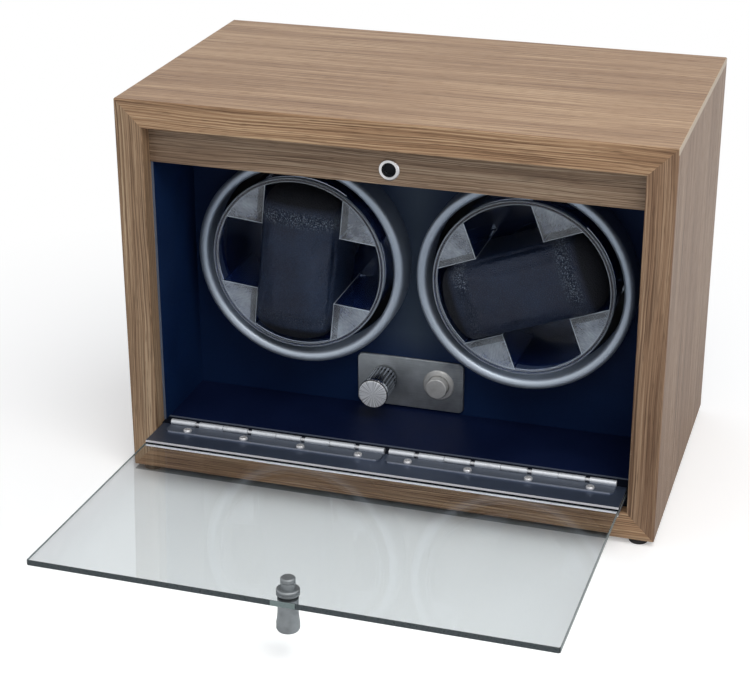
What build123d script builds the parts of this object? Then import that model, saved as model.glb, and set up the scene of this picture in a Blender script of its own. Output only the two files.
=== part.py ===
"""Double watch winder with a drop-down glass door, standing with the door open.

Every piece is drawn in case coordinates, in millimetres: x to the right, depth back from the
front plane of the case, height up from the underside of the case. The export moves them all so
that the origin is the middle of the footprint, on the table, with the door open.
"""
import math
import os
from build123d import *

# Case
case_width = 290.0
case_depth = 170.0
case_height = 212.0
board = 15.0
edge_round = 0.8
foot_height = 3.0
foot_radius = 5.0
foot_inset_side = 8.8
foot_inset_front = 6.0
inner_half = case_width / 2 - board
inner_top = case_height - board

# Front opening
rail_depth = 8.7
rail_thick = 12.0
rail_low = 176.8
floor_top = 27.0
floor_front = 14.5
liner_front = 9.5
liner = 1.2
faceplate_front = 62.8
faceplate_thick = 3.0
faceplate_back = faceplate_front + faceplate_thick

# Door hinge: the axis, and the open door's rise above level
axis_depth = 5.3
axis_height = 28.5
door_rise = 2.3
knuckle_radius = 1.65
pin_radius = 0.95
pin_clearance = 0.05
leaf = 0.8
leaf_drop = 0.9
door_leaf_width = 10.2
case_leaf_width = 11.2
knuckle_clear = 1.9
hinge_inner_end = 1.4
hinge_outer_end = 123.4
hinge_pairs = 3
screw_pitch = 32.45
knuckle_gap = 2.6
knuckle_slit = 0.35
door_screw_reach = 7.7
case_screw_drop = 9.1
screw_head_radius = 2.25
screw_head_high = 1.4
flush_head_radius = 1.8
screw_shank = 1.0

# Door: reach is measured along the door from the hinge axis, level is measured above that axis
door_width = 257.5
door_length = 164.2
glass = 3.0
channel_wall = 1.0
channel_length = 24.0
channel_heel = -0.5
channel_top = -(leaf + leaf_drop)
glass_top = channel_top - channel_wall
glass_low = glass_top - glass
channel_low = glass_low - channel_wall
glass_corner = 1.2
door_knob_reach = 156.4
door_knob_radius = 5.55
door_knob_waist = 4.9
door_knob_long = 15.5
washer = 0.35
collar_high = 2.9
stud_radius = 3.55
stud_high = 5.6
stud_screw = 2.0
groove_deep = 0.3
groove_tall = 0.6

# Catch in the rail, at the height that the stud reaches when the door is shut
catch_height = axis_height + door_knob_reach
catch_flange = 5.5
catch_sleeve = 4.6
catch_bore = 3.8
catch_front = rail_depth - 1.0
catch_back = rail_depth + 7.3
magnet_front = 12.0

# Cups and rings
drum_offset = 62.2
drum_height = 113.9
left_turn = 5.5
right_turn = 69.5
ring_outer = 58.7
ring_inner = 53.0
ring_front = 45.8
ring_round = 2.6
cup_front = 43.9
cup_rim = 48.9
cup_rim_thick = 3.0
cup_wall_radius = 48.1
cup_inner = 46.5
cup_wall = 1.6
slot_wall = 3.7
cup_back = 91.5
pocket_front = 44.5
slot_half = 21.9
arm_half = 19.0

# Cushions
cushion_half_width = 21.5
cushion_front = 34.8
cushion_back = 86.5
cushion_clear = 1.1
cushion_corner = 13.0
cushion_crown = 0.9
cushion_draw_in = 2.6

# Control plate
plate_middle = -3.4
plate_height = 43.1
plate_width = 61.2
plate_tall = 29.8
plate_thick = 1.5
plate_corner = 3.2
plate_bevel = 0.4
plate_front = faceplate_front - plate_thick
knob_x = -18.6
button_x = 12.9
control_height = 44.0
knob_front = 39.2
knob_cap_back = 42.2
knob_foot = 60.5
knob_radius = 7.8
knob_cap_radius = 8.35
knob_flutes = 24
selector_shaft_radius = 3.0
button_radius = 5.9
button_front = 55.5
button_travel = 2.0
bezel_radius = 8.9
bezel_bore = 6.2
bezel_barrel = 7.5
switch_back = 76.8

# Drive behind the faceplate
hub_radius = 20.0
shaft_radius = 3.0
shaft_back = 131.0
wall_front = 106.0
wall_thick = 9.0
wall_back = wall_front + wall_thick
running_clearance = 0.05
motor_x = 100.0
motor_height = 42.0
belt_front = 121.5
belt_back = 126.5
belt_thick = 1.2
belt_gap = 0.15
drum_pulley_pitch = 25.0
motor_pulley_pitch = 7.0
pulley_front = 120.0
pulley_back = 128.0

# Back
cover_front = 165.0
cover_thick = 3.0
corner_block = 12.0
jack_height = 40.0
lead_radius = 1.0

door_reach = (
    door_length * math.cos(math.radians(door_rise))
    - glass_low * math.sin(math.radians(door_rise))
    - axis_depth
)
front_y = (door_reach - case_depth) / 2


def block(x0, x1, d0, d1, h0, h1):
    """A box between two widths, two depths and two heights."""
    middle = Pos((x0 + x1) / 2, (d0 + d1) / 2, (h0 + h1) / 2)
    return middle * Box(x1 - x0, d1 - d0, h1 - h0)


def plate(outline, d0, d1):
    """An outline drawn in width and height, made solid from depth d0 to depth d1."""
    return Pos(0, d1, 0) * Rot(90, 0, 0) * extrude(outline, amount=d1 - d0)


def rod(x, height, d0, d1, radius):
    """A round rod that lies along the depth."""
    return plate(Pos(x, height) * Circle(radius), d0, d1)


def tube(x, height, d0, d1, outer, inner):
    """A round tube that lies along the depth."""
    return rod(x, height, d0, d1, outer) - rod(x, height, d0 - 1, d1 + 1, inner)


def turned(points, x, height):
    """A closed outline of (radius, depth) points, turned about an axis along the depth."""
    outline = make_face(Polyline(*points, close=True))
    return Pos(x, 0, height) * revolve(outline, Axis.Y, 360)


def turned_up(points, reach):
    """A closed outline of (radius, level) points, turned about the door knob's upright axis."""
    outline = make_face(Polyline(*points, close=True))
    return Pos(0, -reach, 0) * Rot(90, 0, 0) * revolve(outline, Axis.Y, 360)


def on_door(shape):
    """Carries a piece drawn level, with the hinge axis as its origin, to the open door."""
    return Pos(0, axis_depth, axis_height) * Rot(-door_rise, 0, 0) * shape


# Case boards: one bevelled frame, parted at its mitres

def case_frame():
    solid = block(-case_width / 2, case_width / 2, 0, case_depth, 0, case_height)
    frame = solid - block(-inner_half, inner_half, -1, case_depth + 1, board, inner_top)
    long_edges = frame.edges().filter_by(Axis.Y)
    outer_edges = [edge for edge in long_edges if abs(edge.center().X) > inner_half + 1]
    return fillet(outer_edges + frame.edges().group_by(Axis.Y)[0], edge_round)


def mitre_wedge(side):
    """The prism that holds one board of the frame, out to its two mitres."""
    half = case_width / 2
    middle = case_height / 2
    reach = half
    outlines = {
        "top": [(-half, case_height), (half, case_height), (half - reach, case_height - reach)],
        "bottom": [(-half, 0), (half, 0), (half - reach, reach)],
        "left": [(-half, 0), (-half, case_height), (-half + middle, middle)],
        "right": [(half, 0), (half, case_height), (half - middle, middle)],
    }
    corners = outlines[side]
    return plate(make_face(Polyline(*corners, close=True)), -1, case_depth + 1)


def case_boards():
    frame = case_frame()
    return {side + "_board": frame & mitre_wedge(side) for side in ("top", "bottom", "left", "right")}


def rubber_feet():
    side = case_width / 2 - foot_inset_side
    feet = []
    for x in (-side, side):
        for depth in (foot_inset_front, case_depth - foot_inset_front):
            foot = Pos(x, depth, -foot_height / 2) * Cylinder(foot_radius, foot_height)
            rim = foot.edges().sort_by(Axis.Z)[0]
            feet.append(fillet(rim, 0.6))
    return Compound(feet)


# Fixed pieces of the front opening

def catch_rail():
    rail = block(-inner_half, inner_half, rail_depth, rail_depth + rail_thick, rail_low, inner_top)
    return rail - rod(0, catch_height, rail_depth - 1, catch_back + 0.5, catch_sleeve)


def catch_ring():
    points = [
        (catch_bore, catch_front),
        (catch_flange - 0.4, catch_front),
        (catch_flange, catch_front + 0.4),
        (catch_flange, rail_depth),
        (catch_sleeve, rail_depth),
        (catch_sleeve, catch_back),
        (catch_bore, catch_back),
    ]
    return turned(points, 0, catch_height)


def catch_magnet():
    return rod(0, catch_height, magnet_front, catch_back, catch_bore - running_clearance)


def hinge_strip():
    back = axis_depth + leaf_drop + leaf
    strip = block(-inner_half, inner_half, back, floor_front, board, floor_top - 0.6)
    for x in hinge_screw_places():
        strip -= rod(x, axis_height - case_screw_drop, back - 1, back + 3.0, screw_shank)
    return strip


def floor_board():
    return block(-inner_half, inner_half, floor_front, faceplate_front, board, floor_top)


def side_liner(side):
    outer = side * inner_half
    inner = side * (inner_half - liner)
    x0, x1 = min(outer, inner), max(outer, inner)
    panel = block(x0, x1, liner_front, faceplate_front, floor_top, inner_top - liner)
    rail_notch = block(x0 - 1, x1 + 1, 0, rail_depth + rail_thick, rail_low, inner_top)
    return panel - rail_notch


def ceiling_liner():
    front = rail_depth + rail_thick
    return block(-inner_half, inner_half, front, faceplate_front, inner_top - liner, inner_top)


def faceplate():
    panel = block(-inner_half, inner_half, faceplate_front, faceplate_back, board, inner_top)
    for x in (-drum_offset, drum_offset):
        panel -= rod(x, drum_height, faceplate_front - 1, faceplate_back + 1, ring_inner)
    panel -= rod(knob_x, control_height, faceplate_front - 1, faceplate_back + 1, 3.6)
    barrel = bezel_barrel + running_clearance
    return panel - rod(button_x, control_height, faceplate_front - 1, faceplate_back + 1, barrel)


def bezel_ring(x):
    ring = tube(x, drum_height, ring_front, faceplate_front, ring_outer, ring_inner)
    front_edges = ring.edges().group_by(Axis.Y)[0]
    return fillet(front_edges, ring_round)


# Hinge: two lengths, with knuckles in pairs and bare pin between the pairs

def hinge_screw_places():
    """The widths of all eight screws, which sit near the gaps between knuckle pairs."""
    middle = (hinge_inner_end + hinge_outer_end) / 2
    steps = (-1.5, -0.5, 0.5, 1.5)
    right = [middle + step * screw_pitch for step in steps]
    return [-x for x in reversed(right)] + right


def knuckle_spans(start, end):
    """The equal knuckles of one hinge length, as (low, high, owner): one, the pairs, and one."""
    breaks = (hinge_pairs + 1) * knuckle_gap + hinge_pairs * knuckle_slit
    long = (end - start - breaks) / (2 * hinge_pairs + 2)
    spans = [(start, start + long, "case")]
    low = start + long + knuckle_gap
    for _ in range(hinge_pairs):
        middle = low + long
        spans.append((low, middle, "door"))
        spans.append((middle + knuckle_slit, middle + knuckle_slit + long, "case"))
        low = middle + knuckle_slit + long + knuckle_gap
    spans.append((low, end, "door"))
    return spans


def hinge_lengths():
    places = hinge_screw_places()
    half = len(places) // 2
    return [
        (-hinge_outer_end, -hinge_inner_end, places[:half]),
        (hinge_inner_end, hinge_outer_end, places[half:]),
    ]


def across(x0, x1, radius):
    """A round rod along the hinge axis, drawn about the origin."""
    return Pos((x0 + x1) / 2, 0, 0) * Rot(0, 90, 0) * Cylinder(radius, x1 - x0)


def hinge_leaf(owner, width, screw_reach):
    """Both lengths of one leaf, drawn level and reaching towards the front from the axis."""
    lengths = []
    top = -leaf_drop
    low = top - leaf
    for start, end, screws in hinge_lengths():
        outline = Pos((start + end) / 2, -(knuckle_clear + width) / 2) * Rectangle(
            end - start, width - knuckle_clear
        )
        outline = fillet(outline.vertices().group_by(Axis.Y)[0], 3.0)
        sheet = Pos(0, 0, low) * extrude(outline, amount=leaf)
        for x0, x1, holder in knuckle_spans(start, end):
            if holder == owner:
                sheet += across(x0, x1, knuckle_radius)
                sheet += block(x0, x1, -knuckle_clear - 0.5, -0.2, low, top)
        sheet -= across(start - 1, end + 1, pin_radius + pin_clearance)
        for x in screws:
            sheet -= Pos(x, -screw_reach, low) * Cylinder(screw_shank, 4)
            if owner == "case":
                sheet -= Pos(x, -screw_reach, low + leaf / 2) * flush_cone(0.05)
        lengths.append(sheet)
    return Compound(lengths)


def hinge_door_leaves():
    return on_door(hinge_leaf("door", door_leaf_width, door_screw_reach))


def hinge_case_leaves():
    upright = Rot(90, 0, 0) * hinge_leaf("case", case_leaf_width, case_screw_drop)
    return Pos(0, axis_depth, axis_height) * upright


def hinge_pins():
    pins = [across(start, end, pin_radius) for start, end, _ in hinge_lengths()]
    return Compound([Pos(0, axis_depth, axis_height) * pin for pin in pins])


def flush_cone(grow):
    """The cone of a countersunk head, as deep as the leaf and drawn about its middle."""
    return Cone(screw_shank, flush_head_radius + grow, leaf)


def screw_shank_and_recess(head_high, shank_long):
    """A screw's shank below level 0, and the cross that is cut into the top of its head."""
    shank = Pos(0, 0, -shank_long / 2) * Cylinder(screw_shank - 0.03, shank_long)
    recess = Box(2.2, 0.5, 1.2) + Box(0.5, 2.2, 1.2)
    return shank, Pos(0, 0, head_high) * recess


def round_screw(shank_long):
    """A round-head screw with a cross recess, its head standing on level 0."""
    head = Pos(0, 0, screw_head_high / 2) * Cylinder(screw_head_radius, screw_head_high)
    head = fillet(head.edges().sort_by(Axis.Z)[-1], 0.9)
    shank, recess = screw_shank_and_recess(screw_head_high, shank_long)
    return head + shank - recess


def flush_screw(shank_long):
    """A countersunk screw with a cross recess, its head level with the leaf's face."""
    head = Pos(0, 0, -leaf / 2) * Cone(screw_shank - 0.03, flush_head_radius, leaf)
    shank, recess = screw_shank_and_recess(0, shank_long)
    return head + shank - recess


def hinge_door_screws():
    screw = round_screw(leaf + channel_wall - 0.1)
    places = [(x, -door_screw_reach, -leaf_drop) for x in hinge_screw_places()]
    return Compound([on_door(Pos(*place) * screw) for place in places])


def hinge_case_screws():
    screw = Rot(90, 0, 0) * flush_screw(leaf + 2.8)
    face = axis_depth + leaf_drop
    height = axis_height - case_screw_drop
    return Compound([Pos(x, face, height) * screw for x in hinge_screw_places()])


# Door

def door_glass():
    back = -channel_heel - channel_wall - 1.0
    length = door_length + back
    outline = Pos(0, -door_length + length / 2) * Rectangle(door_width, length)
    outline = fillet(outline.vertices().group_by(Axis.Y)[0], glass_corner)
    pane = Pos(0, 0, glass_low) * extrude(outline, amount=glass)
    pane = chamfer(pane.edges().group_by(Axis.Y)[0], 0.3)
    pane -= Pos(0, -door_knob_reach, glass_low + glass / 2) * Cylinder(stud_screw + 0.5, glass * 2)
    return on_door(pane)


def door_channel():
    half = door_width / 2
    solid = block(-half, half, -channel_length, -channel_heel, channel_low, channel_top)
    slot_end = -channel_heel - channel_wall
    solid -= block(-half - 1, half + 1, -channel_length - 1, slot_end, glass_low, glass_top)
    for x in hinge_screw_places():
        solid -= Pos(x, -door_screw_reach, channel_top) * Cylinder(screw_shank, 2.4)
    return on_door(solid)


def door_knob():
    top = glass_low - washer
    end = top - door_knob_long
    points = [
        (stud_screw, top),
        (door_knob_waist + 0.1, top),
        (door_knob_waist, top - 4.5),
        (door_knob_waist + 0.1, top - 6.5),
        (door_knob_radius - 0.25, top - 9.5),
        (door_knob_radius, top - 11.0),
        (door_knob_radius, end + 1.6),
        (door_knob_radius - 0.5, end + 0.6),
        (door_knob_radius - 1.5, end),
        (0, end),
        (0, top - 9.0),
        (stud_screw, top - 9.0),
    ]
    return on_door(turned_up(points, door_knob_reach))


def door_knob_washers():
    rings = []
    for low in (glass_top, glass_low - washer):
        ring = Cylinder(door_knob_waist, washer) - Cylinder(stud_screw, washer * 2)
        rings.append(on_door(Pos(0, -door_knob_reach, low + washer / 2) * ring))
    return Compound(rings)


def groove(radius, level):
    """The points of a shallow ring cut into a turned piece, from this level upwards."""
    return [
        (radius, level),
        (radius - groove_deep, level + 0.1),
        (radius - groove_deep, level + groove_tall - 0.1),
        (radius, level + groove_tall),
    ]


def door_knob_collar():
    low = glass_top + washer
    top = low + collar_high
    points = [
        (stud_screw, low),
        (door_knob_radius, low),
        *groove(door_knob_radius, low + 1.2),
        (door_knob_radius, top - 0.5),
        (door_knob_radius - 0.5, top),
        (stud_screw, top),
    ]
    return on_door(turned_up(points, door_knob_reach))


def door_knob_stud():
    low = glass_top + washer + collar_high
    top = low + stud_high
    end = glass_low - washer - 9.0
    points = [
        (0, end),
        (stud_screw, end),
        (stud_screw, low),
        (stud_radius - 0.2, low),
        (stud_radius - 0.2, low + 1.6),
        (stud_radius, low + 1.8),
        *groove(stud_radius, top - 2.4),
        (stud_radius, top - 0.5),
        (stud_radius - 0.5, top),
        (0, top),
    ]
    return on_door(turned_up(points, door_knob_reach))


# Cups: drawn about the drum axis, then turned and placed

def cup_body():
    shell = rod(0, 0, cup_front, cup_back, cup_wall_radius)
    shell += rod(0, 0, cup_front, cup_front + cup_rim_thick, cup_rim)
    shell -= rod(0, 0, cup_front - 1, pocket_front, cup_inner)
    cross = Rectangle(slot_half * 2, cup_rim * 2) + Rectangle(cup_rim * 2, arm_half * 2)
    shell -= plate(cross & Circle(cup_inner), cup_front - 1, cup_back - cup_wall)
    for sx in (-1, 1):
        for sz in (-1, 1):
            low_x = slot_half + slot_wall
            low_z = arm_half + cup_wall
            corner = Pos(sx * (low_x + cup_rim) / 2, sz * (low_z + cup_rim) / 2)
            quarter = corner * Rectangle(cup_rim - low_x, cup_rim - low_z)
            shell -= plate(quarter & Circle(cup_inner), pocket_front + cup_wall, cup_back + 1)
    rim_edges = shell.edges().group_by(Axis.Y)[0].sort_by(SortBy.LENGTH)
    return fillet(rim_edges[-1], 0.6)


def cushion_body():
    """Rounded oblongs across the cushion's width, crowned in front and drawn in at both sides."""
    reach = cup_inner - cushion_clear
    sections = Sketch()
    for share in (-1, -0.93, -0.72, -0.4, 0, 0.4, 0.72, 0.93, 1):
        x = share * cushion_half_width
        draw = cushion_draw_in * abs(share) ** 8
        crown = cushion_crown * share ** 2
        half_length = math.sqrt(reach ** 2 - x ** 2) - draw
        front = cushion_front + crown + draw * 0.8
        back = cushion_back - draw * 0.6
        section = Plane.YZ.offset(x) * Pos((front + back) / 2, 0) * RectangleRounded(
            back - front, half_length * 2, cushion_corner - draw
        )
        sections += section
    return loft(sections.faces().sort_by(Axis.X))


def on_drum(shape, side):
    turn = left_turn if side < 0 else right_turn
    return Pos(side * drum_offset, 0, drum_height) * Rot(0, turn, 0) * shape


def cup_hub(side):
    x = side * drum_offset
    hub = rod(x, drum_height, cup_back, cup_back + 3, hub_radius)
    hub += rod(x, drum_height, cup_back + 3, wall_front - 2.5, 8)
    return hub - rod(x, drum_height, cup_back + 2, wall_front, shaft_radius + 0.02)


def drum_shaft(side):
    return rod(side * drum_offset, drum_height, cup_back + 2, shaft_back, shaft_radius)


def pulley(x, height, pitch, bore):
    """A flanged pulley whose rim stays just inside the belt."""
    rim = pitch - belt_thick / 2 - belt_gap
    wheel = rod(x, height, pulley_front, pulley_back, rim)
    wheel += rod(x, height, pulley_front, pulley_front + 1.2, pitch + 1.6)
    wheel += rod(x, height, pulley_back - 1.2, pulley_back, pitch + 1.6)
    return wheel - rod(x, height, pulley_front - 1, pulley_back + 1, bore) if bore else wheel


def drum_pulley(side):
    x = side * drum_offset
    wheel = pulley(x, drum_height, drum_pulley_pitch, shaft_radius + 0.02)
    for quarter in range(4):
        angle = math.radians(45 + 90 * quarter)
        hole_x = x + 14 * math.cos(angle)
        hole_height = drum_height + 14 * math.sin(angle)
        wheel -= rod(hole_x, hole_height, pulley_front - 1, pulley_back + 1, 5.5)
    return wheel


def motor_pulley(side):
    x = side * motor_x
    wheel = pulley(x, motor_height, motor_pulley_pitch, 0)
    return wheel + rod(x, motor_height, wall_front - 6, pulley_front + 1, 2.0)


def belt_outline(side, grow):
    """The two pulleys' circles with their outer tangents, grown from the belt's inner face."""
    big = drum_pulley_pitch - belt_thick / 2 + grow
    small = motor_pulley_pitch - belt_thick / 2 + grow
    ax, ay = side * drum_offset, drum_height
    bx, by = side * motor_x, motor_height
    span = math.hypot(bx - ax, by - ay)
    heading = math.atan2(by - ay, bx - ax)
    lean = math.acos((big - small) / span)
    low, high = heading - lean, heading + lean
    straight = Polyline(
        (ax + big * math.cos(high), ay + big * math.sin(high)),
        (bx + small * math.cos(high), by + small * math.sin(high)),
        (bx + small * math.cos(low), by + small * math.sin(low)),
        (ax + big * math.cos(low), ay + big * math.sin(low)),
        close=True,
    )
    return Pos(ax, ay) * Circle(big) + Pos(bx, by) * Circle(small) + make_face(straight)


def drive_belt(side):
    loop = belt_outline(side, belt_thick) - belt_outline(side, 0)
    return plate(loop, belt_front, belt_back)


# Bearing board and motors

def bearing_board():
    panel = block(-inner_half, inner_half, wall_front, wall_back, board, inner_top)
    for side in (-1, 1):
        panel -= rod(side * drum_offset, drum_height, wall_front - 1, wall_back + 1, 6.0)
        panel -= rod(side * motor_x, motor_height, wall_front - 1, wall_back + 1, 5.0)
    return panel - rod(0, jack_height, wall_front - 1, wall_back + 1, 4.0)


def shaft_bearings():
    bushes = []
    for side in (-1, 1):
        x = side * drum_offset
        bush = rod(x, drum_height, wall_front - 2, wall_front, 8.0)
        bush += rod(x, drum_height, wall_front, wall_back + 3, 6.0)
        bore = shaft_radius + running_clearance
        bushes.append(bush - rod(x, drum_height, wall_front - 3, wall_back + 4, bore))
    return Compound(bushes)


def gearmotor(side):
    x = side * motor_x
    body = rod(x, motor_height, wall_front - 12, wall_front, 12.5)
    body += rod(x, motor_height, wall_front - 32, wall_front - 12, 10.0)
    body += rod(x, motor_height, wall_front, wall_front + 4, 4.9)
    return body - rod(x, motor_height, wall_front - 6.5, wall_front + 5, 2.0 + running_clearance)


# Controls

def control_plate():
    outline = Pos(plate_middle, plate_height) * RectangleRounded(plate_width, plate_tall, plate_corner)
    sheet = plate(outline, plate_front, faceplate_front)
    sheet = chamfer(sheet.edges().group_by(Axis.Y)[0], plate_bevel)
    sheet -= rod(knob_x, control_height, plate_front - 1, faceplate_front + 1, 3.6)
    barrel = bezel_barrel + running_clearance
    return sheet - rod(button_x, control_height, plate_front - 1, faceplate_front + 1, barrel)


def rotary_switch():
    body = rod(knob_x, control_height, faceplate_back, switch_back, 8.5)
    body += rod(knob_x, control_height, 56.0, faceplate_back, 3.5)
    bore = selector_shaft_radius + running_clearance
    return body - rod(knob_x, control_height, 55.0, switch_back - 2, bore)


def selector_nut():
    outline = Pos(knob_x, control_height) * RegularPolygon(5.6, 6)
    outline -= Pos(knob_x, control_height) * Circle(3.52)
    return plate(outline, plate_front - 1.4, plate_front)


def selector_shaft():
    return rod(knob_x, control_height, knob_cap_back + 2, switch_back - 2.3, selector_shaft_radius)


def selector_knob():
    body = rod(knob_x, control_height, knob_cap_back, knob_foot, knob_radius)
    body = fillet(body.edges().group_by(Axis.Y)[-1], 0.5)
    for index in range(knob_flutes):
        angle = 2 * math.pi * index / knob_flutes
        x = knob_x + (knob_radius + 0.15) * math.cos(angle)
        height = control_height + (knob_radius + 0.15) * math.sin(angle)
        body -= rod(x, height, knob_cap_back + 0.8, knob_foot - 3.2, 0.6)
    body -= rod(knob_x, control_height, 55.0, knob_foot + 1, 6.2)
    return body - rod(knob_x, control_height, knob_cap_back + 2, 56, selector_shaft_radius + 0.02)


def selector_cap():
    rim = rod(knob_x, control_height, knob_front + 1.2, knob_cap_back, knob_cap_radius)
    face = rod(knob_x, control_height, knob_front, knob_front + 1.2, knob_cap_radius - 0.4)
    face = fillet(face.edges().group_by(Axis.Y)[0], 0.4)
    return fillet(rim.edges().group_by(Axis.Y)[0], 0.3) + face


def button_bezel():
    points = [
        (bezel_bore, plate_front - 1.0),
        (bezel_radius - 0.6, plate_front - 1.0),
        (bezel_radius, plate_front - 0.4),
        (bezel_radius, plate_front),
        (bezel_barrel, plate_front),
        (bezel_barrel, 70.0),
        (bezel_bore, 70.0),
    ]
    return turned(points, button_x, control_height)


def button_cap():
    cap = rod(button_x, control_height, button_front, 65.0, button_radius)
    cap = fillet(cap.edges().group_by(Axis.Y)[0], 0.5)
    return cap + rod(button_x, control_height, 65.0, 71.5, 2.0)


def push_switch():
    body = rod(button_x, control_height, 70.0, switch_back, 8.5)
    return body - rod(button_x, control_height, 69.0, 71.5 + button_travel + 0.8, 2.3)


def circuit_board():
    back = switch_back + 1.6
    card = block(-34, 27, switch_back, back, 30, 60)
    card += block(-33, -27, back, back + 6, 36, 44)
    card += block(20, 26, back, back + 6, 36, 44)
    card += block(-4, 4, back, back + 6, 36, 44)
    card += block(-18, -8, back, back + 1.8, 48, 56)
    card += block(8, 16, back, back + 3.2, 47, 54)
    return card


def wiring():
    """Three leads: one to each motor's side, and one through the bearing board to the jack."""
    plug = switch_back + 4.6
    leads = []
    for side, edge in ((-1, -33), (1, 26)):
        end = side * (motor_x - 10)
        route = [
            (edge, plug, 40),
            (edge + side * 12, plug, 40),
            (edge + side * 24, plug + 3, 33),
            (end - side * 12, plug + 1, motor_height),
            (end, plug + 1, motor_height),
        ]
        path = FilletPolyline(*route, radius=6)
        start = Plane(origin=path @ 0, z_dir=path % 0)
        leads.append(sweep(start * Circle(lead_radius), path=path))
    leads.append(rod(0, jack_height, plug + 3, cover_front - 8, lead_radius))
    return Compound(leads)


# Back of the case

def corner_places():
    side = inner_half - corner_block / 2
    heights = (board + corner_block / 2, inner_top - corner_block / 2)
    return [(x, height) for x in (-side, side) for height in heights]


def corner_blocks():
    half = corner_block / 2
    blocks = []
    for x, height in corner_places():
        piece = block(x - half, x + half, cover_front - 15, cover_front, height - half, height + half)
        blocks.append(piece - rod(x, height, cover_front - 10, cover_front + 1, screw_shank))
    return Compound(blocks)


def back_cover():
    cover_back = cover_front + cover_thick
    panel = block(-inner_half, inner_half, cover_front, cover_back, board, inner_top)
    for x, height in corner_places():
        panel -= rod(x, height, cover_front - 1, cover_back + 1, screw_shank)
    return panel - rod(0, jack_height, cover_front - 1, cover_back + 1, 5.5)


def back_cover_screws():
    screw = Rot(-90, 0, 0) * round_screw(cover_thick + 9)
    face = cover_front + cover_thick
    return Compound([Pos(x, face, height) * screw for x, height in corner_places()])


def power_jack():
    """A panel jack: a barrel with a flange behind the cover, and a centre pin."""
    cover_back = cover_front + cover_thick
    points = [
        (0, cover_front - 8),
        (6.5, cover_front - 8),
        (6.5, cover_front),
        (5.5, cover_front),
        (5.5, cover_back + 0.6),
        (2.75, cover_back + 0.6),
        (2.75, cover_front - 5),
        (1.05, cover_front - 5),
        (1.05, cover_back),
        (0, cover_back),
    ]
    return turned(points, 0, jack_height)


def all_nodes():
    nodes = case_boards()
    nodes["rubber_feet"] = rubber_feet()
    nodes["catch_rail"] = catch_rail()
    nodes["catch_ring"] = catch_ring()
    nodes["catch_magnet"] = catch_magnet()
    nodes["hinge_strip"] = hinge_strip()
    nodes["floor_board"] = floor_board()
    nodes["ceiling_liner"] = ceiling_liner()
    nodes["faceplate"] = faceplate()
    nodes["hinge_case_leaves"] = hinge_case_leaves()
    nodes["hinge_case_screws"] = hinge_case_screws()
    nodes["hinge_pins"] = hinge_pins()
    nodes["hinge_door_leaves"] = hinge_door_leaves()
    nodes["hinge_door_screws"] = hinge_door_screws()
    nodes["door_glass"] = door_glass()
    nodes["door_channel"] = door_channel()
    nodes["door_knob"] = door_knob()
    nodes["door_knob_washers"] = door_knob_washers()
    nodes["door_knob_collar"] = door_knob_collar()
    nodes["door_knob_stud"] = door_knob_stud()
    nodes["bearing_board"] = bearing_board()
    nodes["shaft_bearings"] = shaft_bearings()
    nodes["control_plate"] = control_plate()
    nodes["rotary_switch"] = rotary_switch()
    nodes["selector_nut"] = selector_nut()
    nodes["selector_shaft"] = selector_shaft()
    nodes["selector_knob"] = selector_knob()
    nodes["selector_cap"] = selector_cap()
    nodes["button_bezel"] = button_bezel()
    nodes["button_cap"] = button_cap()
    nodes["push_switch"] = push_switch()
    nodes["circuit_board"] = circuit_board()
    nodes["wiring"] = wiring()
    nodes["corner_blocks"] = corner_blocks()
    nodes["back_cover"] = back_cover()
    nodes["back_cover_screws"] = back_cover_screws()
    nodes["power_jack"] = power_jack()
    cup = cup_body()
    cushion = cushion_body()
    for name, side in (("left", -1), ("right", 1)):
        nodes[name + "_liner"] = side_liner(side)
        nodes[name + "_bezel_ring"] = bezel_ring(side * drum_offset)
        nodes[name + "_cup"] = on_drum(cup, side)
        nodes[name + "_cushion"] = on_drum(cushion, side)
        nodes[name + "_cup_hub"] = cup_hub(side)
        nodes[name + "_drum_shaft"] = drum_shaft(side)
        nodes[name + "_drum_pulley"] = drum_pulley(side)
        nodes[name + "_gearmotor"] = gearmotor(side)
        nodes[name + "_motor_pulley"] = motor_pulley(side)
        nodes[name + "_belt"] = drive_belt(side)
    return nodes


os.makedirs("parts", exist_ok=True)
for node, shape in all_nodes().items():
    export_step(Pos(0, front_y, foot_height) * shape, "parts/" + node + ".step")
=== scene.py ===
"""A double watch winder with its glass door let down, dressed and lit as in its photograph."""
import math

import bpy
import numpy as np
from mathutils import Matrix, Vector


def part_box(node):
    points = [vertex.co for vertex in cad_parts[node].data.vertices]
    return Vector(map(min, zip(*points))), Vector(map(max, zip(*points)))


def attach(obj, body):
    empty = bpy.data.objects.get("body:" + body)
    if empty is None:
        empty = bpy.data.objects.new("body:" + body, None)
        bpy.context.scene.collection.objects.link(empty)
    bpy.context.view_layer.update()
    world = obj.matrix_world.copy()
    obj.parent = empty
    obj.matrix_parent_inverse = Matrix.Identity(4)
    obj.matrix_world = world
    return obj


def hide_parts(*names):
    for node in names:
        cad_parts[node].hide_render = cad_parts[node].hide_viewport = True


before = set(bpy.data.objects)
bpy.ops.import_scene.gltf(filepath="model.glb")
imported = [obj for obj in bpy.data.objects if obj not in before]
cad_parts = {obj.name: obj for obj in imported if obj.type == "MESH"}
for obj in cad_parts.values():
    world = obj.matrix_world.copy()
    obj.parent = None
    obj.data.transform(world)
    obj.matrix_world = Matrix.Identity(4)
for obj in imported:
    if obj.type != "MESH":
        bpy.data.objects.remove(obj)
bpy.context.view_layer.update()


# ---- Case boards -----------------------------------------------------------------------------
# Fifteen-millimetre boards of pressed wood, mitred at the corners and wrapped in a walnut foil.
# The foil's grain runs along each board and goes on over its edges, as a folded sheet does, and
# a painted highlight makes it pale along the rounded outer long edges.

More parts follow.
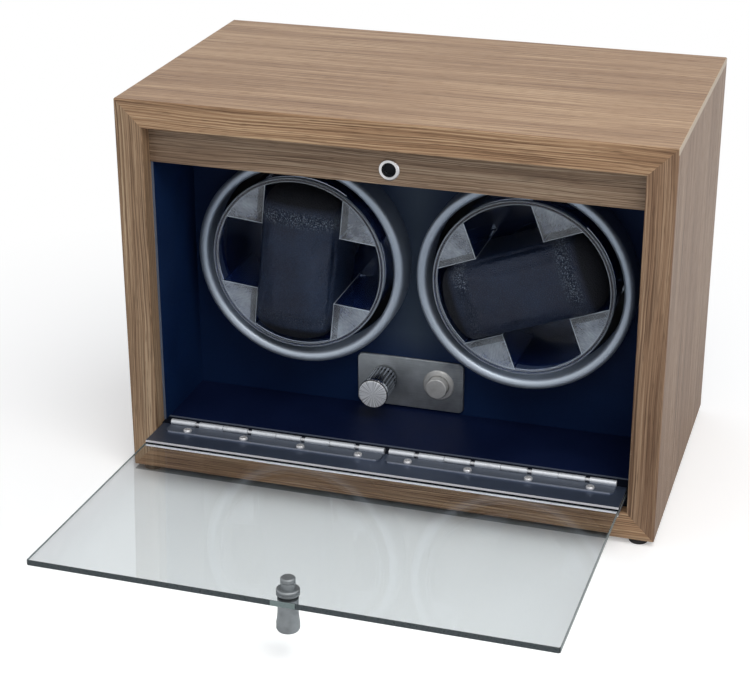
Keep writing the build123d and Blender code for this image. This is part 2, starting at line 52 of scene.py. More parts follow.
class Tone:
    """One output of a shader node. A sum written with it, such as 1 - tone, adds a Math node."""

    def __init__(self, finish, socket):
        self.finish, self.socket = finish, socket

    def sum(self, operation, first, second=0.0):
        return self.finish.node("Math", {"operation": operation}, {0: first, 1: second})

    def other(self, name):
        return Tone(self.finish, self.socket.node.outputs[name])

    def __add__(self, value):
        return self.sum("ADD", self, value)

    def __radd__(self, value):
        return self.sum("ADD", value, self)

    def __sub__(self, value):
        return self.sum("SUBTRACT", self, value)

    def __rsub__(self, value):
        return self.sum("SUBTRACT", value, self)

    def __mul__(self, value):
        return self.sum("MULTIPLY", self, value)

    def __rmul__(self, value):
        return self.sum("MULTIPLY", value, self)

    def __truediv__(self, value):
        return self.sum("DIVIDE", self, value)

    def __pow__(self, value):
        return self.sum("POWER", self, value)

    def __gt__(self, value):
        return self.sum("GREATER_THAN", self, value)

    def __lt__(self, value):
        return self.sum("LESS_THAN", self, value)

    def __abs__(self):
        return self.sum("ABSOLUTE", self)

    def atleast(self, value):
        return self.sum("MAXIMUM", self, value)

    def atmost(self, value):
        return self.sum("MINIMUM", self, value)

    def held(self):
        """The value kept between 0 and 1."""
        return self.atleast(0.0).atmost(1.0)


class Finish:
    """A material, or the room's light, built up node by node: node() adds any kind of node."""

    def __init__(self, owner):
        if isinstance(owner, str):
            owner = bpy.data.materials.new(owner)
        owner.use_nodes = True
        self.owner, self.tree = owner, owner.node_tree
        self.tree.nodes.clear()

    def node(self, kind, settings=None, sockets=None, output=0):
        made = self.tree.nodes.new("ShaderNode" + kind)
        for key, value in (settings or {}).items():
            if key == "stops":
                stops = made.color_ramp.elements
                while len(stops) < len(value):
                    stops.new(0.5)
                for stop, (place, colour) in zip(stops, value):
                    stop.position, stop.color = place, colour
            else:
                setattr(made, key, value)
        for key, value in (sockets or {}).items():
            if isinstance(value, Tone):
                self.tree.links.new(value.socket, made.inputs[key])
            else:
                made.inputs[key].default_value = value
        return Tone(self, made.outputs[output]) if made.outputs else None

    def spot(self):
        """Where the surface is on the piece: its x, y and z in metres."""
        place = self.node("TexCoord", output="Object")
        parts = self.node("SeparateXYZ", None, {0: place})
        return parts, parts.other(1), parts.other(2)

    def noise(self, point, detail=2.0, rough=0.5):
        """Soft noise about 0, mostly between -0.25 and 0.25, at a point of three numbers."""
        vector = self.node("CombineXYZ", None, dict(enumerate(point)))
        found = self.node("TexNoise", None, {"Vector": vector, "Scale": 1.0, "Detail": detail,
                                             "Roughness": rough})
        return found - 0.5

    def cells(self, point, feature="F1"):
        """Distance to the nearest of scattered points, or to the border between two of them."""
        vector = self.node("CombineXYZ", None, dict(enumerate(point)))
        return self.node("TexVoronoi", {"feature": feature}, {"Vector": vector, "Scale": 1.0})

    def blend(self, first, second, share):
        """One colour going over to another by a share from 0 to 1."""
        return self.node("Mix", {"data_type": "RGBA"}, {0: share, 6: first, 7: second}, 2)

    def bump(self, height, deep, strength=1.0):
        """The surface tilted by a height of 0 to 1, for a relief deep metres deep."""
        return self.node("Bump", None, {"Height": height, "Distance": deep, "Strength": strength})

    def skin(self, colour, roughness, metallic=0.0, normal=None, **more):
        sockets = {"Base Color": colour, "Roughness": roughness, "Metallic": metallic}
        if normal is not None:
            sockets["Normal"] = normal
        sockets.update({key.replace("_", " "): value for key, value in more.items()})
        return self.node("BsdfPrincipled", None, sockets)

    def done(self, shader):
        self.node("OutputMaterial", None, {"Surface": shader})
        return self.owner


def tint(red, green, blue):
    """A colour as a screen shows it, 0 to 255, turned into the light that it sends back."""
    shares = [v / 255 for v in (red, green, blue)]
    return tuple(((v + 0.055) / 1.055) ** 2.4 if v > 0.04 else v / 12.92 for v in shares) + (1.0,)


def dress(material, *names):
    """Puts one material on the whole of each named piece."""
    for name in names:
        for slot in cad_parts[name].material_slots:
            slot.material = material


def walnut_foil(name, unroll, sheet, face, painted_shade_cast=(1.0, 1.0, 1.0, 1.0)):
    """Fine grain lines far longer than wide, darker veins that close on themselves, and pores.

    unroll gives the way along the grain and the way across it, over the folded edges. sheet is
    a number that picks another stretch of the printed foil, which is stronger on the front face
    at the depth face. The last argument is a cast of painted shade that makes a whole board
    darker or greyer where less light falls on it."""
    foil = Finish(name)
    x, y, z = foil.spot()
    along, across = unroll(x, y, z)
    across = across + foil.noise((along * 8, across * 20, sheet), 1) * 0.006
    across = across + foil.noise((along * 60, across * 170, sheet + 2), 1) * 0.0006
    bands = foil.noise((along * 4, across * 90, sheet + 3), 2)
    lines = foil.noise((along * 9, across * 1350, sheet + 5), 3, 0.68)
    veins = foil.noise((along * 7, across * 150, sheet + 7), 1)
    pores = foil.noise((along * 90, across * 1700, sheet + 9), 1)
    front = y < face + 0.0009
    depth = 1 + front * 0.2
    tone = ((bands * 0.6 + lines * 1.9) * depth + 0.5).held()
    colour = foil.node("ValToRGB", {"stops": [
        (0.16, tint(104, 76, 53)),
        (0.38, tint(143, 110, 81)),
        (0.56, tint(167, 133, 101)),
        (0.80, tint(196, 165, 131)),
    ]}, {0: tone})
    pore = ((pores * -1 - 0.1) * 9).held()
    vein = (1 - abs(veins) * 38).held() * (0.12 + front * 0.2)
    colour = foil.blend(colour, tint(80, 57, 40), (pore * 0.4 * depth).atleast(vein))
    # Painted shade: the cast multiplies the board's colour, darker or greyer where less light
    # falls.
    colour = foil.node("Mix", {"data_type": "RGBA", "blend_type": "MULTIPLY"},
                       {0: 1.0, 6: colour, 7: painted_shade_cast}, 2)
    # Painted highlight: the rounded outer long edges, where a side meets the top or bottom, are
    # lightened for the light they catch.
    side = (abs(x) - (case_half - 0.00036)) > 0.0
    lid = (abs(z - case_middle) - (case_middle - 0.00336)) > 0.0
    colour = foil.blend(colour, tint(206, 190, 168), side * lid * 0.7)
    relief = lines + pores * 0.8 + 0.5
    return foil.done(foil.skin(colour, 0.5 + pore * 0.2 - tone * 0.08, 0.0,
                               foil.bump(relief, 0.00006, 0.6), Specular_IOR_Level=0.35))


case_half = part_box("right_board")[1].x
case_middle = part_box("top_board")[1].z / 2
case_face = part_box("top_board")[0].y
dress(walnut_foil("walnut_foil_top", lambda x, y, z: (x, y + z), 1.0, case_face), "top_board")
dress(walnut_foil("walnut_foil_bottom", lambda x, y, z: (x, y - z), 14.0, case_face),
      "bottom_board")
# The side boards get a cast of painted shade, the right one much darker and greyer than the left.
dress(walnut_foil("walnut_foil_left", lambda x, y, z: (z, y - x), 27.0, case_face,
                  (0.87, 0.935, 1.0, 1.0)), "left_board")
dress(walnut_foil("walnut_foil_right", lambda x, y, z: (z, y + x), 41.0, case_face,
                  (0.68, 0.67, 0.7, 1.0)), "right_board")


# ---- Feet ------------------------------------------------------------------------------------
# Four pressed rubber buttons stuck under the corners, matt black with a fine moulded grain.

def rubber(name, colour):
    stuff = Finish(name)
    x, y, z = stuff.spot()
    grain = stuff.noise((x * 2500, y * 2500, z * 2500), 3)
    colour = stuff.blend(colour, tint(58, 58, 60), (grain + 0.2).held() * 0.5)
    return stuff.done(stuff.skin(colour, 0.78 + grain * 0.2, 0.0, stuff.bump(grain, 0.0001)))


dress(rubber("foot_rubber", tint(26, 26, 28)), "rubber_feet")


# ---- Rail and catch --------------------------------------------------------------------------
# A wrapped rail set back along the top of the opening. The door's stud goes into a turned
# nickel ring pressed into its middle, with a round magnet at the back of the bore.

def turned_metal(name, colour, roughness, axis, fine=9000.0, relief=0.00002, metallic=1.0):
    """Metal cut in the lathe: fine rings about an axis through (x, y, z), None for its line."""
    metal = Finish(name)
    spots = metal.spot()
    radius = sum((spot - start) ** 2.0 for spot, start in zip(spots, axis) if start is not None)
    radius = radius ** 0.5
    rings = metal.noise((radius * fine, 0.0, 0.0), 2)
    wide = metal.noise([spot * 180 for spot in spots], 2)
    shade = metal.blend(colour, tint(60, 62, 66), (wide * 0.8 + 0.06).held())
    return metal.done(metal.skin(shade, roughness + rings * 0.2 + wide * 0.2, metallic,
                                 metal.bump(rings, relief)))


def middle_of(node):
    low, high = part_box(node)
    return (low + high) / 2


# The rail's cast is painted shade from the top board's overhang.
dress(walnut_foil("walnut_foil_rail", lambda x, y, z: (x, z + y), 55.0,
                  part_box("catch_rail")[0].y, (0.69, 0.77, 0.9, 1.0)), "catch_rail")
ring_middle = middle_of("catch_ring")
dress(turned_metal("catch_nickel", tint(214, 214, 216), 0.26,
                   (ring_middle.x, None, ring_middle.z)), "catch_ring")
# The magnet is near black as painted shade, standing for the dark deep in the bore.
dress(turned_metal("magnet_plating", tint(26, 28, 32), 0.5,
                   (ring_middle.x, None, ring_middle.z), 3000.0), "catch_magnet")


# ---- Lining ----------------------------------------------------------------------------------
# Thin boards wrapped in a navy leather cloth: floor, sides, ceiling and the plate behind the
# rings. The cloth has a fine pressed grain, its cut front edges have a thin painted highlight
# line, and the plate has a painted sheen between the rings.

def navy_cloth(name, dark, light, edge=None, sheen_and_grain=False):
    """Small rounded pebbles between fine creases, and a painted highlight line in front of the
    depth edge.

    With the flag set, the cloth has a painted sheen: a paler patch above the control plate,
    between the rings."""
    cloth = Finish(name)
    x, y, z = cloth.spot()
    creases = cloth.cells([spot * 1900 for spot in (x, y, z)], "DISTANCE_TO_EDGE")
    pebble = (creases * 3).held()
    wide = cloth.noise([spot * 24 for spot in (x, y, z)], 2)
    colour = cloth.blend(dark, light, (pebble * 0.35 + wide + 0.2).held())
    # Painted highlight: a pale line along the cut front edge.
    if edge is not None:
        colour = cloth.blend(colour, tint(104, 112, 128), (y < edge) * 0.85)
    # Painted sheen: a paler patch on the plate above the control plate, between the rings.
    if sheen_and_grain:
        patch = (1 - abs(x) / 0.034).held() * ((z - 0.056) / 0.02).held()
        colour = cloth.blend(colour, tint(72, 84, 98), patch * 0.75)
    return cloth.done(cloth.skin(colour, 0.55 + wide * 0.25 - pebble * 0.06, 0.0,
                                 cloth.bump(pebble, 0.00005, 0.7), Specular_IOR_Level=0.1))


dress(navy_cloth("navy_cloth", tint(8, 25, 58), tint(22, 46, 86)), "ceiling_liner")
dress(navy_cloth("navy_cloth_face", tint(8, 25, 58), tint(22, 46, 86), sheen_and_grain=True), "faceplate")
dress(navy_cloth("navy_cloth_sill", tint(9, 12, 22), tint(20, 25, 38)), "hinge_strip")
dress(navy_cloth("navy_cloth_sides", tint(8, 26, 60), tint(22, 48, 90),
                 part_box("left_liner")[0].y + 0.0004), "left_liner", "right_liner")
dress(navy_cloth("navy_cloth_floor", tint(6, 15, 42), tint(16, 29, 64),
                 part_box("floor_board")[0].y + 0.0006), "floor_board")


# ---- Bezel rings -----------------------------------------------------------------------------
# Two moulded rings on the faceplate, painted in a satin metallic grey. The flakes in the paint
# make it mottle very slightly.

def metallic_paint(name, colour, roughness, metallic, middle):
    """Paint with flakes in it, and a painted highlight that makes it paler below the height
    middle.
    """
    paint = Finish(name)
    x, y, z = paint.spot()
    flakes = paint.noise([spot * 5200 for spot in (x, y, z)], 1)
    wide = paint.noise([spot * 60 for spot in (x, y, z)], 2)
    shade = paint.blend(colour, tint(176, 180, 186), (flakes * 0.5 + 0.1 + wide * 0.3).held())
    # Painted highlight: paler below the ring's middle height, where more light falls.
    shade = paint.blend(shade, tint(214, 224, 236), ((middle - z) * 14).held() * 0.6)
    return paint.done(paint.skin(shade, roughness + flakes * 0.12, metallic,
                                 paint.bump(flakes, 0.00002, 0.5)))


dress(metallic_paint("ring_paint", tint(146, 158, 174), 0.44, 0.7,
                     middle_of("left_bezel_ring").z), "left_bezel_ring", "right_bezel_ring")


# ---- Cups ------------------------------------------------------------------------------------
# Injection-moulded cups of clear plastic that turn inside the rings: a rim, four closed corner
# pockets and a deep cross for the cushion. They show by their reflections, with a painted
# reflection on the corner plates and painted highlights along the polished edges and the rim.

cup_turns = {"left": math.radians(5.5), "right": math.radians(69.5)}
cross_wide, cross_tall, cup_bore = 0.0219, 0.0190, 0.0465
rim_inner, rim_outer = 0.0467, 0.0485


def clear_plastic(name, centre, turn, front):
    """Clear solid that bends light, with a painted reflection on the corner plates and painted
    highlights along its edges and rim.

    The cross is measured from the cup's own centre, with the cup's turn taken off."""
    clear = Finish(name)
    x, y, z = clear.spot()
    dx, dz = x - centre.x, z - centre.z
    wide = abs(dx * math.cos(turn) - dz * math.sin(turn))
    tall = abs(dx * math.sin(turn) + dz * math.cos(turn))
    radius = (dx ** 2.0 + dz ** 2.0) ** 0.5
    in_x, in_z = wide - cross_wide, tall - cross_tall
    near = in_x.atmost(in_z)
    plate = (near > -0.0001) * (y < front + 0.0009) * (radius < cup_bore)
    line = (near < 0.0004) * plate
    corner = (in_x.atleast(in_z) < 0.0005) * (near > -0.0002)
    rim = (abs(radius - rim_inner) < 0.0003).atleast(abs(radius - rim_outer) < 0.0004)
    rim = rim * (y < front + 0.0012)
    # Painted reflection and highlights: the corner plates, the cross's edges and corners and the
    # rim mix over to a pale layer for the bright room they reflect, mottled and streaked.
    reflection_mottle = clear.noise((dx * 75, y * 75, dz * 75), 2)
    reflection_streaks = clear.noise((wide * 300 + tall * 300, 0.0, tall * 900 - wide * 900), 2)
    cast = (radius - 0.038) * 11 + 0.33 + reflection_mottle + reflection_streaks * 0.45
    cast = cast * (0.6 + (wide > 0.0256) * 0.4)
    share = (plate * cast + line * 0.45 + corner * 0.5 + rim * 0.36).held()
    wear = clear.noise([spot * 900 for spot in (x, y, z)], 3)
    glass = clear.skin(tint(220, 231, 250), 0.02 + (wear + 0.05).held() * 0.12, 0.0, None,
                       IOR=1.49, Transmission_Weight=1.0)
    painted_reflection = clear.skin(clear.blend(tint(24, 50, 112), tint(206, 218, 232), (share * 6).held()),
                      0.35, 0.0)
    body = clear.node("MixShader", None, {0: share.atleast(0.13), 1: glass, 2: painted_reflection})
    film = clear.node("BsdfTransparent", None, {"Color": tint(238, 242, 246)})
    lamp = clear.node("LightPath", output="Is Shadow Ray")
    return clear.done(clear.node("MixShader", None, {0: lamp, 1: body, 2: film}))


for side, turn in cup_turns.items():
    dress(clear_plastic(side + "_cup_plastic", middle_of(side + "_drum_shaft"), turn,
                        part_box(side + "_cup")[0].y), side + "_cup")


# ---- Cushions --------------------------------------------------------------------------------
# Oblong foam pads in a black pebbled leather cloth, one pressed into each cup. Two side panels
# are sewn to a band that runs round the pad, and the pressure of the foam rounds its faces.

seam_place = 0.0206
cushion_blown, cushion_grid, held_to = 20, 0.0025, 0.0011
# The right pad's share of the paler colour is held back as painted shade.
lit_share = {"left": 1.0, "right": 0.65}


def leather_cloth(name, turn, centre, pale):
    """Pebbles about a millimetre wide between creases, raised where the cloth bends.

    The pad lies along its turn about the centre, and its ends are in painted shade. pale scales
    how far the pebble tops and broad tone go over to the paler colour, and is lower on the right
    pad as painted shade; painted glints sparkle along the bend, mostly on its upper side."""
    hide = Finish(name)
    x, y, z = hide.spot()
    long = abs((x - centre[0]) * math.sin(turn) + (z - centre[1]) * math.cos(turn))
    end = ((long - 0.0335) / 0.003).held()
    bent = (1 - abs(long - 0.0285) / 0.0055).held()
    bend = hide.noise([spot * 260 for spot in (x, y, z)], 2) * 0.0012
    near = [(spot + bend) * 960 for spot in (x, y, z)]
    pebble = (hide.cells(near, "DISTANCE_TO_EDGE") * 3.2).held()
    fine = hide.noise([spot * 6000 for spot in (x, y, z)], 2)
    wide = hide.noise([spot * 45 for spot in (x, y, z)], 2)
    # Pebble tops and broad tone go paler, scaled by the pad's share of painted light.
    sheen_and_grain = ((pebble * 0.55 + wide * 0.8) * pale).held()
    colour = hide.blend(tint(14, 24, 46), tint(48, 68, 98), sheen_and_grain)
    # Painted shade: the ends go nearly black.
    colour = hide.blend(colour, tint(2, 5, 15), end * 0.95)
    # Painted glints: pale specks along the bend, stronger on the upper side where light falls.
    glint = (hide.noise([spot * 1500 for spot in (x, y, z)], 2, 0.7) * 10 - 0.3).held()
    upper = (z > centre[1]) * 0.75 + 0.25
    colour = hide.blend(colour, tint(176, 190, 208), bent * glint * upper * 0.85)
    relief = (pebble + fine * 0.3) * (0.35 + bent * 0.65)
    return hide.done(hide.skin(colour, 0.42 - pebble * 0.1 + end * 0.4 + wide * 0.2, 0.0,
                               hide.bump(relief, 0.0007, 1.0), Specular_IOR_Level=0.36))


def stuffed(name, node):
    """The pad's own solid, drawn in, blown up by pressure under cloth and held near its start."""
    bpy.context.view_layer.update()
    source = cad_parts[node]
    pad = bpy.data.objects.new(name, source.data.copy())
    bpy.context.scene.collection.objects.link(pad)
    pad.data.materials.clear()
    bpy.context.view_layer.objects.active = pad
    weld = pad.modifiers.new("weld", "WELD")
    weld.merge_threshold = 0.00001
    mesh_it = pad.modifiers.new("even", "REMESH")
    mesh_it.mode, mesh_it.voxel_size = "VOXEL", cushion_grid
    applied(pad)
    start = points_of(pad) - normals_of(pad) * 0.0009
    put_points(pad, start)
    cloth = pad.modifiers.new("cloth", "CLOTH")
    cloth.settings.quality = 6
    cloth.settings.mass = 0.3
    cloth.settings.use_pressure = True
    cloth.settings.uniform_pressure_force = 4.0
    cloth.settings.effector_weights.gravity = 0.0
    cloth.settings.tension_stiffness = cloth.settings.compression_stiffness = 15
    cloth.settings.bending_stiffness = 0.5
    for step in range(1, cushion_blown + 1):
        bpy.context.scene.frame_set(step)
    applied(pad)
    bpy.context.scene.frame_set(1)
    moved = points_of(pad) - start
    far = np.linalg.norm(moved, axis=1, keepdims=True)
    put_points(pad, start + moved * np.minimum(1, held_to / np.maximum(far, 1e-9)))
    smooth = pad.modifiers.new("smooth", "SUBSURF")
    smooth.levels = smooth.render_levels = 2
    applied(pad)
    pad.data.shade_smooth()
    return pad


def applied(piece):
    """Turns the piece's mesh into what its modifiers make of it."""
    whole = piece.evaluated_get(bpy.context.evaluated_depsgraph_get())
    made = bpy.data.meshes.new_from_object(whole)
    piece.modifiers.clear()
    piece.data = made


def points_of(piece):
    found = np.empty(len(piece.data.vertices) * 3, np.float32)
    piece.data.vertices.foreach_get("co", found)
    return found.reshape(-1, 3).astype(float)


def normals_of(piece):
    found = np.empty(len(piece.data.vertices) * 3, np.float32)
    piece.data.vertices.foreach_get("normal", found)
    return found.reshape(-1, 3).astype(float)


def put_points(piece, points):
    piece.data.vertices.foreach_set("co", points.astype(np.float32).ravel())
    piece.data.update()


for side, turn in cup_turns.items():
    low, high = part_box(side + "_drum_shaft")
    axis_x, axis_z = (low.x + high.x) / 2, (low.z + high.z) / 2
    pad = stuffed(side + "_cushion_padded", side + "_cushion")
    spots = points_of(pad)
    dx, dz = spots[:, 0] - axis_x, spots[:, 2] - axis_z
    wide = dx * math.cos(turn) - dz * math.sin(turn)
    long = dx * math.sin(turn) + dz * math.cos(turn)
    round_it = np.arctan2(long, (spots[:, 1] - spots[:, 1].mean()) * 1.6) * 40
    seam = np.exp(-(((abs(wide) - seam_place) / 0.00055) ** 2))
    near_seam = np.exp(-(((abs(wide) - seam_place + 0.002) / 0.0022) ** 2))
    pucker = np.sin(round_it * 2.3 + np.sin(round_it * 0.7) * 2 + np.sign(wide) * 1.1)
    sag = np.sin(wide * 150 + long * 37) * np.sin(long * 90 + 1.3)
    push = -0.00042 * seam + 0.00009 * near_seam * pucker + 0.00012 * sag
    put_points(pad, spots + normals_of(pad) * push[:, None])
    pad.data.materials.append(leather_cloth(side + "_leather", turn, (axis_x, axis_z),
                                            lit_share[side]))
    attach(pad, side + "_pad")
    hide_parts(side + "_cushion")


# ---- Control plate, selector and button ------------------------------------------------------
# A small brushed nickel plate with a fluted selector knob and a push button. The knob's chrome
# cap is turned across its face, with its turning streaks painted as a fan of light and dark and
# painted shade in its groove, and its fluted body has painted shade in the flutes. The plate
# carries painted shade towards its right end.

def brushed_metal(name, colour, roughness, right):
    """Fine scratches along the width, cloudy patches, and painted shade that darkens it towards
    the right end.
    """
    metal = Finish(name)
    x, y, z = metal.spot()
    scratch = metal.noise((x * 90, y * 2000, z * 9000), 3)
    cloud = metal.noise([spot * 70 for spot in (x, y, z)], 3)
    # Painted shade: the colour darkens towards the plate's right end.
    painted_dimming = (x - right) * 9 + 0.6
    shade = metal.blend(colour, tint(96, 100, 108), (painted_dimming + cloud * 1.6 + scratch * 0.6).held())
    return metal.done(metal.skin(shade, roughness + scratch * 0.25 + cloud * 0.25, 1.0,
                                 metal.bump(scratch, 0.000015)))


def fanned_metal(name, colour, centre, front):
    """A face turned across: turning streaks that fan out from its middle, painted as light and
    dark bands for the light they reflect, and painted shade in a groove round its side.
    """
    metal = Finish(name)
    x, y, z = metal.spot()
    angle = metal.node("Math", {"operation": "ARCTAN2"}, {0: z - centre.z, 1: x - centre.x})
    streak = metal.noise((angle * 9, 0.0, 0.0), 3, 0.7)
    # Painted reflection: the turning streaks are painted as light and dark bands that fan over the
    # face.
    shade = metal.blend(colour, tint(104, 110, 120), (streak * 4.2 + 0.3).held())
    # Painted shade: a dark band round the side, in the groove behind the face.
    groove = (y > front + 0.0004) * (y < front + 0.0013)
    shade = metal.blend(shade, tint(24, 26, 30), groove * 0.9)
    rim = y > front + 0.0012
    return metal.done(metal.skin(shade, 0.34 + streak * 0.5 - rim * 0.2, 0.45 + rim * 0.55,
                                 metal.bump(streak, 0.00004)))


def fluted_metal(name, colour, middle, flutes):
    """Flutes cut along a round body, darkened as painted shade, with bright bars between them."""
    metal = Finish(name)
    x, y, z = metal.spot()
    angle = metal.node("Math", {"operation": "ARCTAN2"}, {0: z - middle.z, 1: x - middle.x})
    wave = metal.node("Math", {"operation": "COSINE"}, {0: angle * flutes})
    painted_dimming = metal.noise([spot * 400 for spot in (x, y, z)], 2)
    # Painted shade in the flutes: the colour darkens at each flute round the body.
    shade = metal.blend(colour, tint(18, 20, 24), (wave * 1.2 + 0.2 + painted_dimming * 1.2).held() * 0.88)
    return metal.done(metal.skin(shade, 0.2 + painted_dimming * 0.15, 1.0))


knob_middle = middle_of("selector_cap")
button_middle = middle_of("button_cap")
dress(brushed_metal("plate_nickel", tint(196, 202, 206), 0.42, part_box("control_plate")[1].x),
      "control_plate")
dress(fanned_metal("knob_cap_chrome", tint(248, 250, 255), knob_middle,
                   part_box("selector_cap")[0].y), "selector_cap")
dress(fluted_metal("knob_body_metal", tint(124, 128, 136), knob_middle, 24), "selector_knob")
dress(turned_metal("nut_steel", tint(130, 133, 138), 0.4, (knob_middle.x, None, knob_middle.z)),
      "selector_nut")
dress(turned_metal("button_nickel", tint(212, 212, 211), 0.42,
                   (button_middle.x, None, button_middle.z), 4000.0, metallic=0.75),
      "button_bezel", "button_cap")


# ---- Hinge -----------------------------------------------------------------------------------
# Two lengths of pressed steel piano hinge, with the rolled knuckles in pairs and bare pin
# between them, held by small cross-head screws. Its leaves are a duller, darker steel than its
# knuckles, darkened further as a painted reflection of the dark inside, and their cut edges carry
# a painted highlight.

def plated_steel(name, colour, roughness, metallic=1.0):
    """Bright plating: long faint drawing marks along the width, and a few dull spots."""
    metal = Finish(name)
    x, y, z = metal.spot()
    drawn = metal.noise((x * 60, y * 4000, z * 4000), 2)
    dull = metal.noise([spot * 350 for spot in (x, y, z)], 2)
    shade = metal.blend(colour, tint(120, 122, 128), (dull * 1.6).held() * 0.6)
    return metal.done(metal.skin(shade, roughness + (dull * 0.4).held() + drawn * 0.1, metallic,
                                 metal.bump(drawn, 0.00001)))


def rolled_leaf(name, rolled_from, ends):
    """A leaf of a piano hinge: satin knuckles, a flat darkened as a painted reflection of the dark
    inside, and a painted highlight on its cut edge.

    Both are told apart by how far a point is from the hinge axis, and the cut edge is ends
    metres from that axis."""
    metal = Finish(name)
    x, y, z = metal.spot()
    away = ((y - pins.y) ** 2.0 + (z - pins.z) ** 2.0) ** 0.5
    drawn = metal.noise((x * 60, y * 4000, z * 4000), 2)
    dull = metal.noise([spot * 350 for spot in (x, y, z)], 2)
    flat = away > rolled_from
    cut = away > ends
    # Painted reflection: the flat is darkened for the dark inside that it faces, on top of a
    # duller steel; painted highlight: the cut edge is lightened.
    shade = metal.blend(tint(216, 220, 226), tint(92, 100, 114), flat)
    shade = metal.blend(shade, tint(158, 164, 176), cut)
    shade = metal.blend(shade, tint(112, 114, 120), (dull * 1.6).held() * 0.6)
    return metal.done(metal.skin(shade, 0.42 + (dull * 0.4).held() + drawn * 0.1,
                                 0.55 - flat * 0.1, metal.bump(drawn, 0.00001)))


pins = middle_of("hinge_pins")
dress(rolled_leaf("door_leaf_steel", 0.0017, 0.0100), "hinge_door_leaves")
dress(rolled_leaf("case_leaf_steel", 0.0017, 0.0110), "hinge_case_leaves")
dress(plated_steel("pin_steel", tint(206, 208, 212), 0.4, 0.5), "hinge_pins")
dress(plated_steel("screw_plating", tint(214, 214, 216), 0.36, 0.55),
      "hinge_door_screws", "hinge_case_screws", "back_cover_screws")


# ---- Door ------------------------------------------------------------------------------------
# A three-millimetre pane with ground edges, held in a dark anodised channel with bright cut
# lips, with painted shade at the channel's mouth. A turned knob, rubber washers, a collar and a
# stud are screwed together through the pane.

def float_glass(name, clear_colour, edge_colour, shadow):
    """Clear pane with dark green-grey ground edges, and painted shade at the channel's mouth: a
    black strip for the dark inside the channel.
    """
    pane = Finish(name)
    x, y, z = pane.spot()
    reach = (z - hinge_z) * math.sin(rise) - (y - hinge_y) * math.cos(rise)
    end = reach > door_long - 0.0002
    sides = abs(x) > door_half - 0.0002
    level = (z - hinge_z) * math.cos(rise) + (y - hinge_y) * math.sin(rise)
    mouth = (reach < channel_long + 0.0016) * (level > -0.004)
    glass = pane.skin(clear_colour, 0.0, 0.0, None, IOR=1.33, Transmission_Weight=1.0)
    marks = pane.noise([spot * 1500 for spot in (x, y, z)], 2)
    colour = pane.blend(edge_colour, tint(118, 134, 134),
                        ((abs(x) < 0.006) * end + sides * 0.6).held())
    ground = pane.skin(colour, 0.3 + marks * 0.3, 0.0, pane.bump(marks, 0.00003))
    # Painted shade: a matt black strip with no shine where the pane enters the channel, standing
    # for the dark inside it.
    painted_mouth_shade = pane.skin(tint(12, 13, 17), 0.9, 0.0, None, Specular_IOR_Level=0.0)
    body = pane.node("MixShader", None, {0: end.atleast(sides), 1: glass, 2: ground})
    body = pane.node("MixShader", None, {0: mouth, 1: body, 2: painted_mouth_shade})
    film = pane.node("BsdfTransparent", None, {"Color": shadow})
    lamp = pane.node("LightPath", output="Is Shadow Ray")
    return pane.done(pane.node("MixShader", None, {0: lamp, 1: body, 2: film}))


def anodised(name, colour):
    """Dark anodised aluminium, bare and bright where the lips were cut."""
    metal = Finish(name)
    x, y, z = metal.spot()
    reach = (z - hinge_z) * math.sin(rise) - (y - hinge_y) * math.cos(rise)
    lip = reach > channel_long - 0.0004
    drawn = metal.noise((x * 50, y * 3000, z * 3000), 2)
    shade = metal.blend(colour, tint(104, 114, 134), (drawn * 1.2 + 0.2).held() * 0.5)
    shade = metal.blend(shade, tint(240, 240, 246), lip)
    return metal.done(metal.skin(shade, 0.38 + drawn * 0.15 + lip * 0.2, 0.8 - lip * 0.5,
                                 metal.bump(drawn, 0.00001)))


rise = math.radians(2.3)
hinge_y, hinge_z = pins.y, pins.z
door_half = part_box("door_glass")[1].x
channel_long, door_long = 0.024, 0.1642
dress(float_glass("door_pane", tint(236, 239, 241), tint(52, 62, 66), tint(236, 241, 242)),
      "door_glass")
dress(anodised("dark_aluminium", tint(90, 102, 124)), "door_channel")
door_knob_middle = middle_of("door_knob_collar")
dress(turned_metal("door_knob_metal", tint(142, 147, 150), 0.5,
                   (door_knob_middle.x, door_knob_middle.y, None), 4000.0, metallic=0.8),
      "door_knob", "door_knob_collar", "door_knob_stud")
dress(rubber("gasket_rubber", tint(64, 68, 72)), "door_knob_washers")


# ---- Drive -----------------------------------------------------------------------------------
# Hidden behind the faceplate: white plastic hubs and pulleys on steel shafts, flat rubber
# belts, geared motors on a black board, a circuit board, its wiring and the two switches.

def moulded(name, colour, roughness=0.42):
    """Moulded plastic with a fine spark-eroded texture."""
    plastic = Finish(name)
    x, y, z = plastic.spot()
    grain = plastic.noise([spot * 3000 for spot in (x, y, z)], 2)
    wide = plastic.noise([spot * 50 for spot in (x, y, z)], 2)
    shade = plastic.blend(colour, tint(128, 128, 128), (wide * 0.5).held() * 0.3)
    return plastic.done(plastic.skin(shade, roughness + grain * 0.2, 0.0,
                                     plastic.bump(grain, 0.00004)))


def circuit_card(name):
    """Green solder mask with brassy tracks, a brown edge and dark parts behind."""
    card = Finish(name)
    x, y, z = card.spot()
    tracks = card.cells((x * 300, 0.0, z * 300), "DISTANCE_TO_EDGE") < 0.05
    colour = card.blend(tint(28, 82, 50), tint(64, 118, 72), tracks)
    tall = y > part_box("circuit_board")[0].y + 0.00165
    colour = card.blend(colour, tint(30, 30, 32), tall)
    return card.done(card.skin(colour, 0.35 + tracks * 0.1, 0.0))


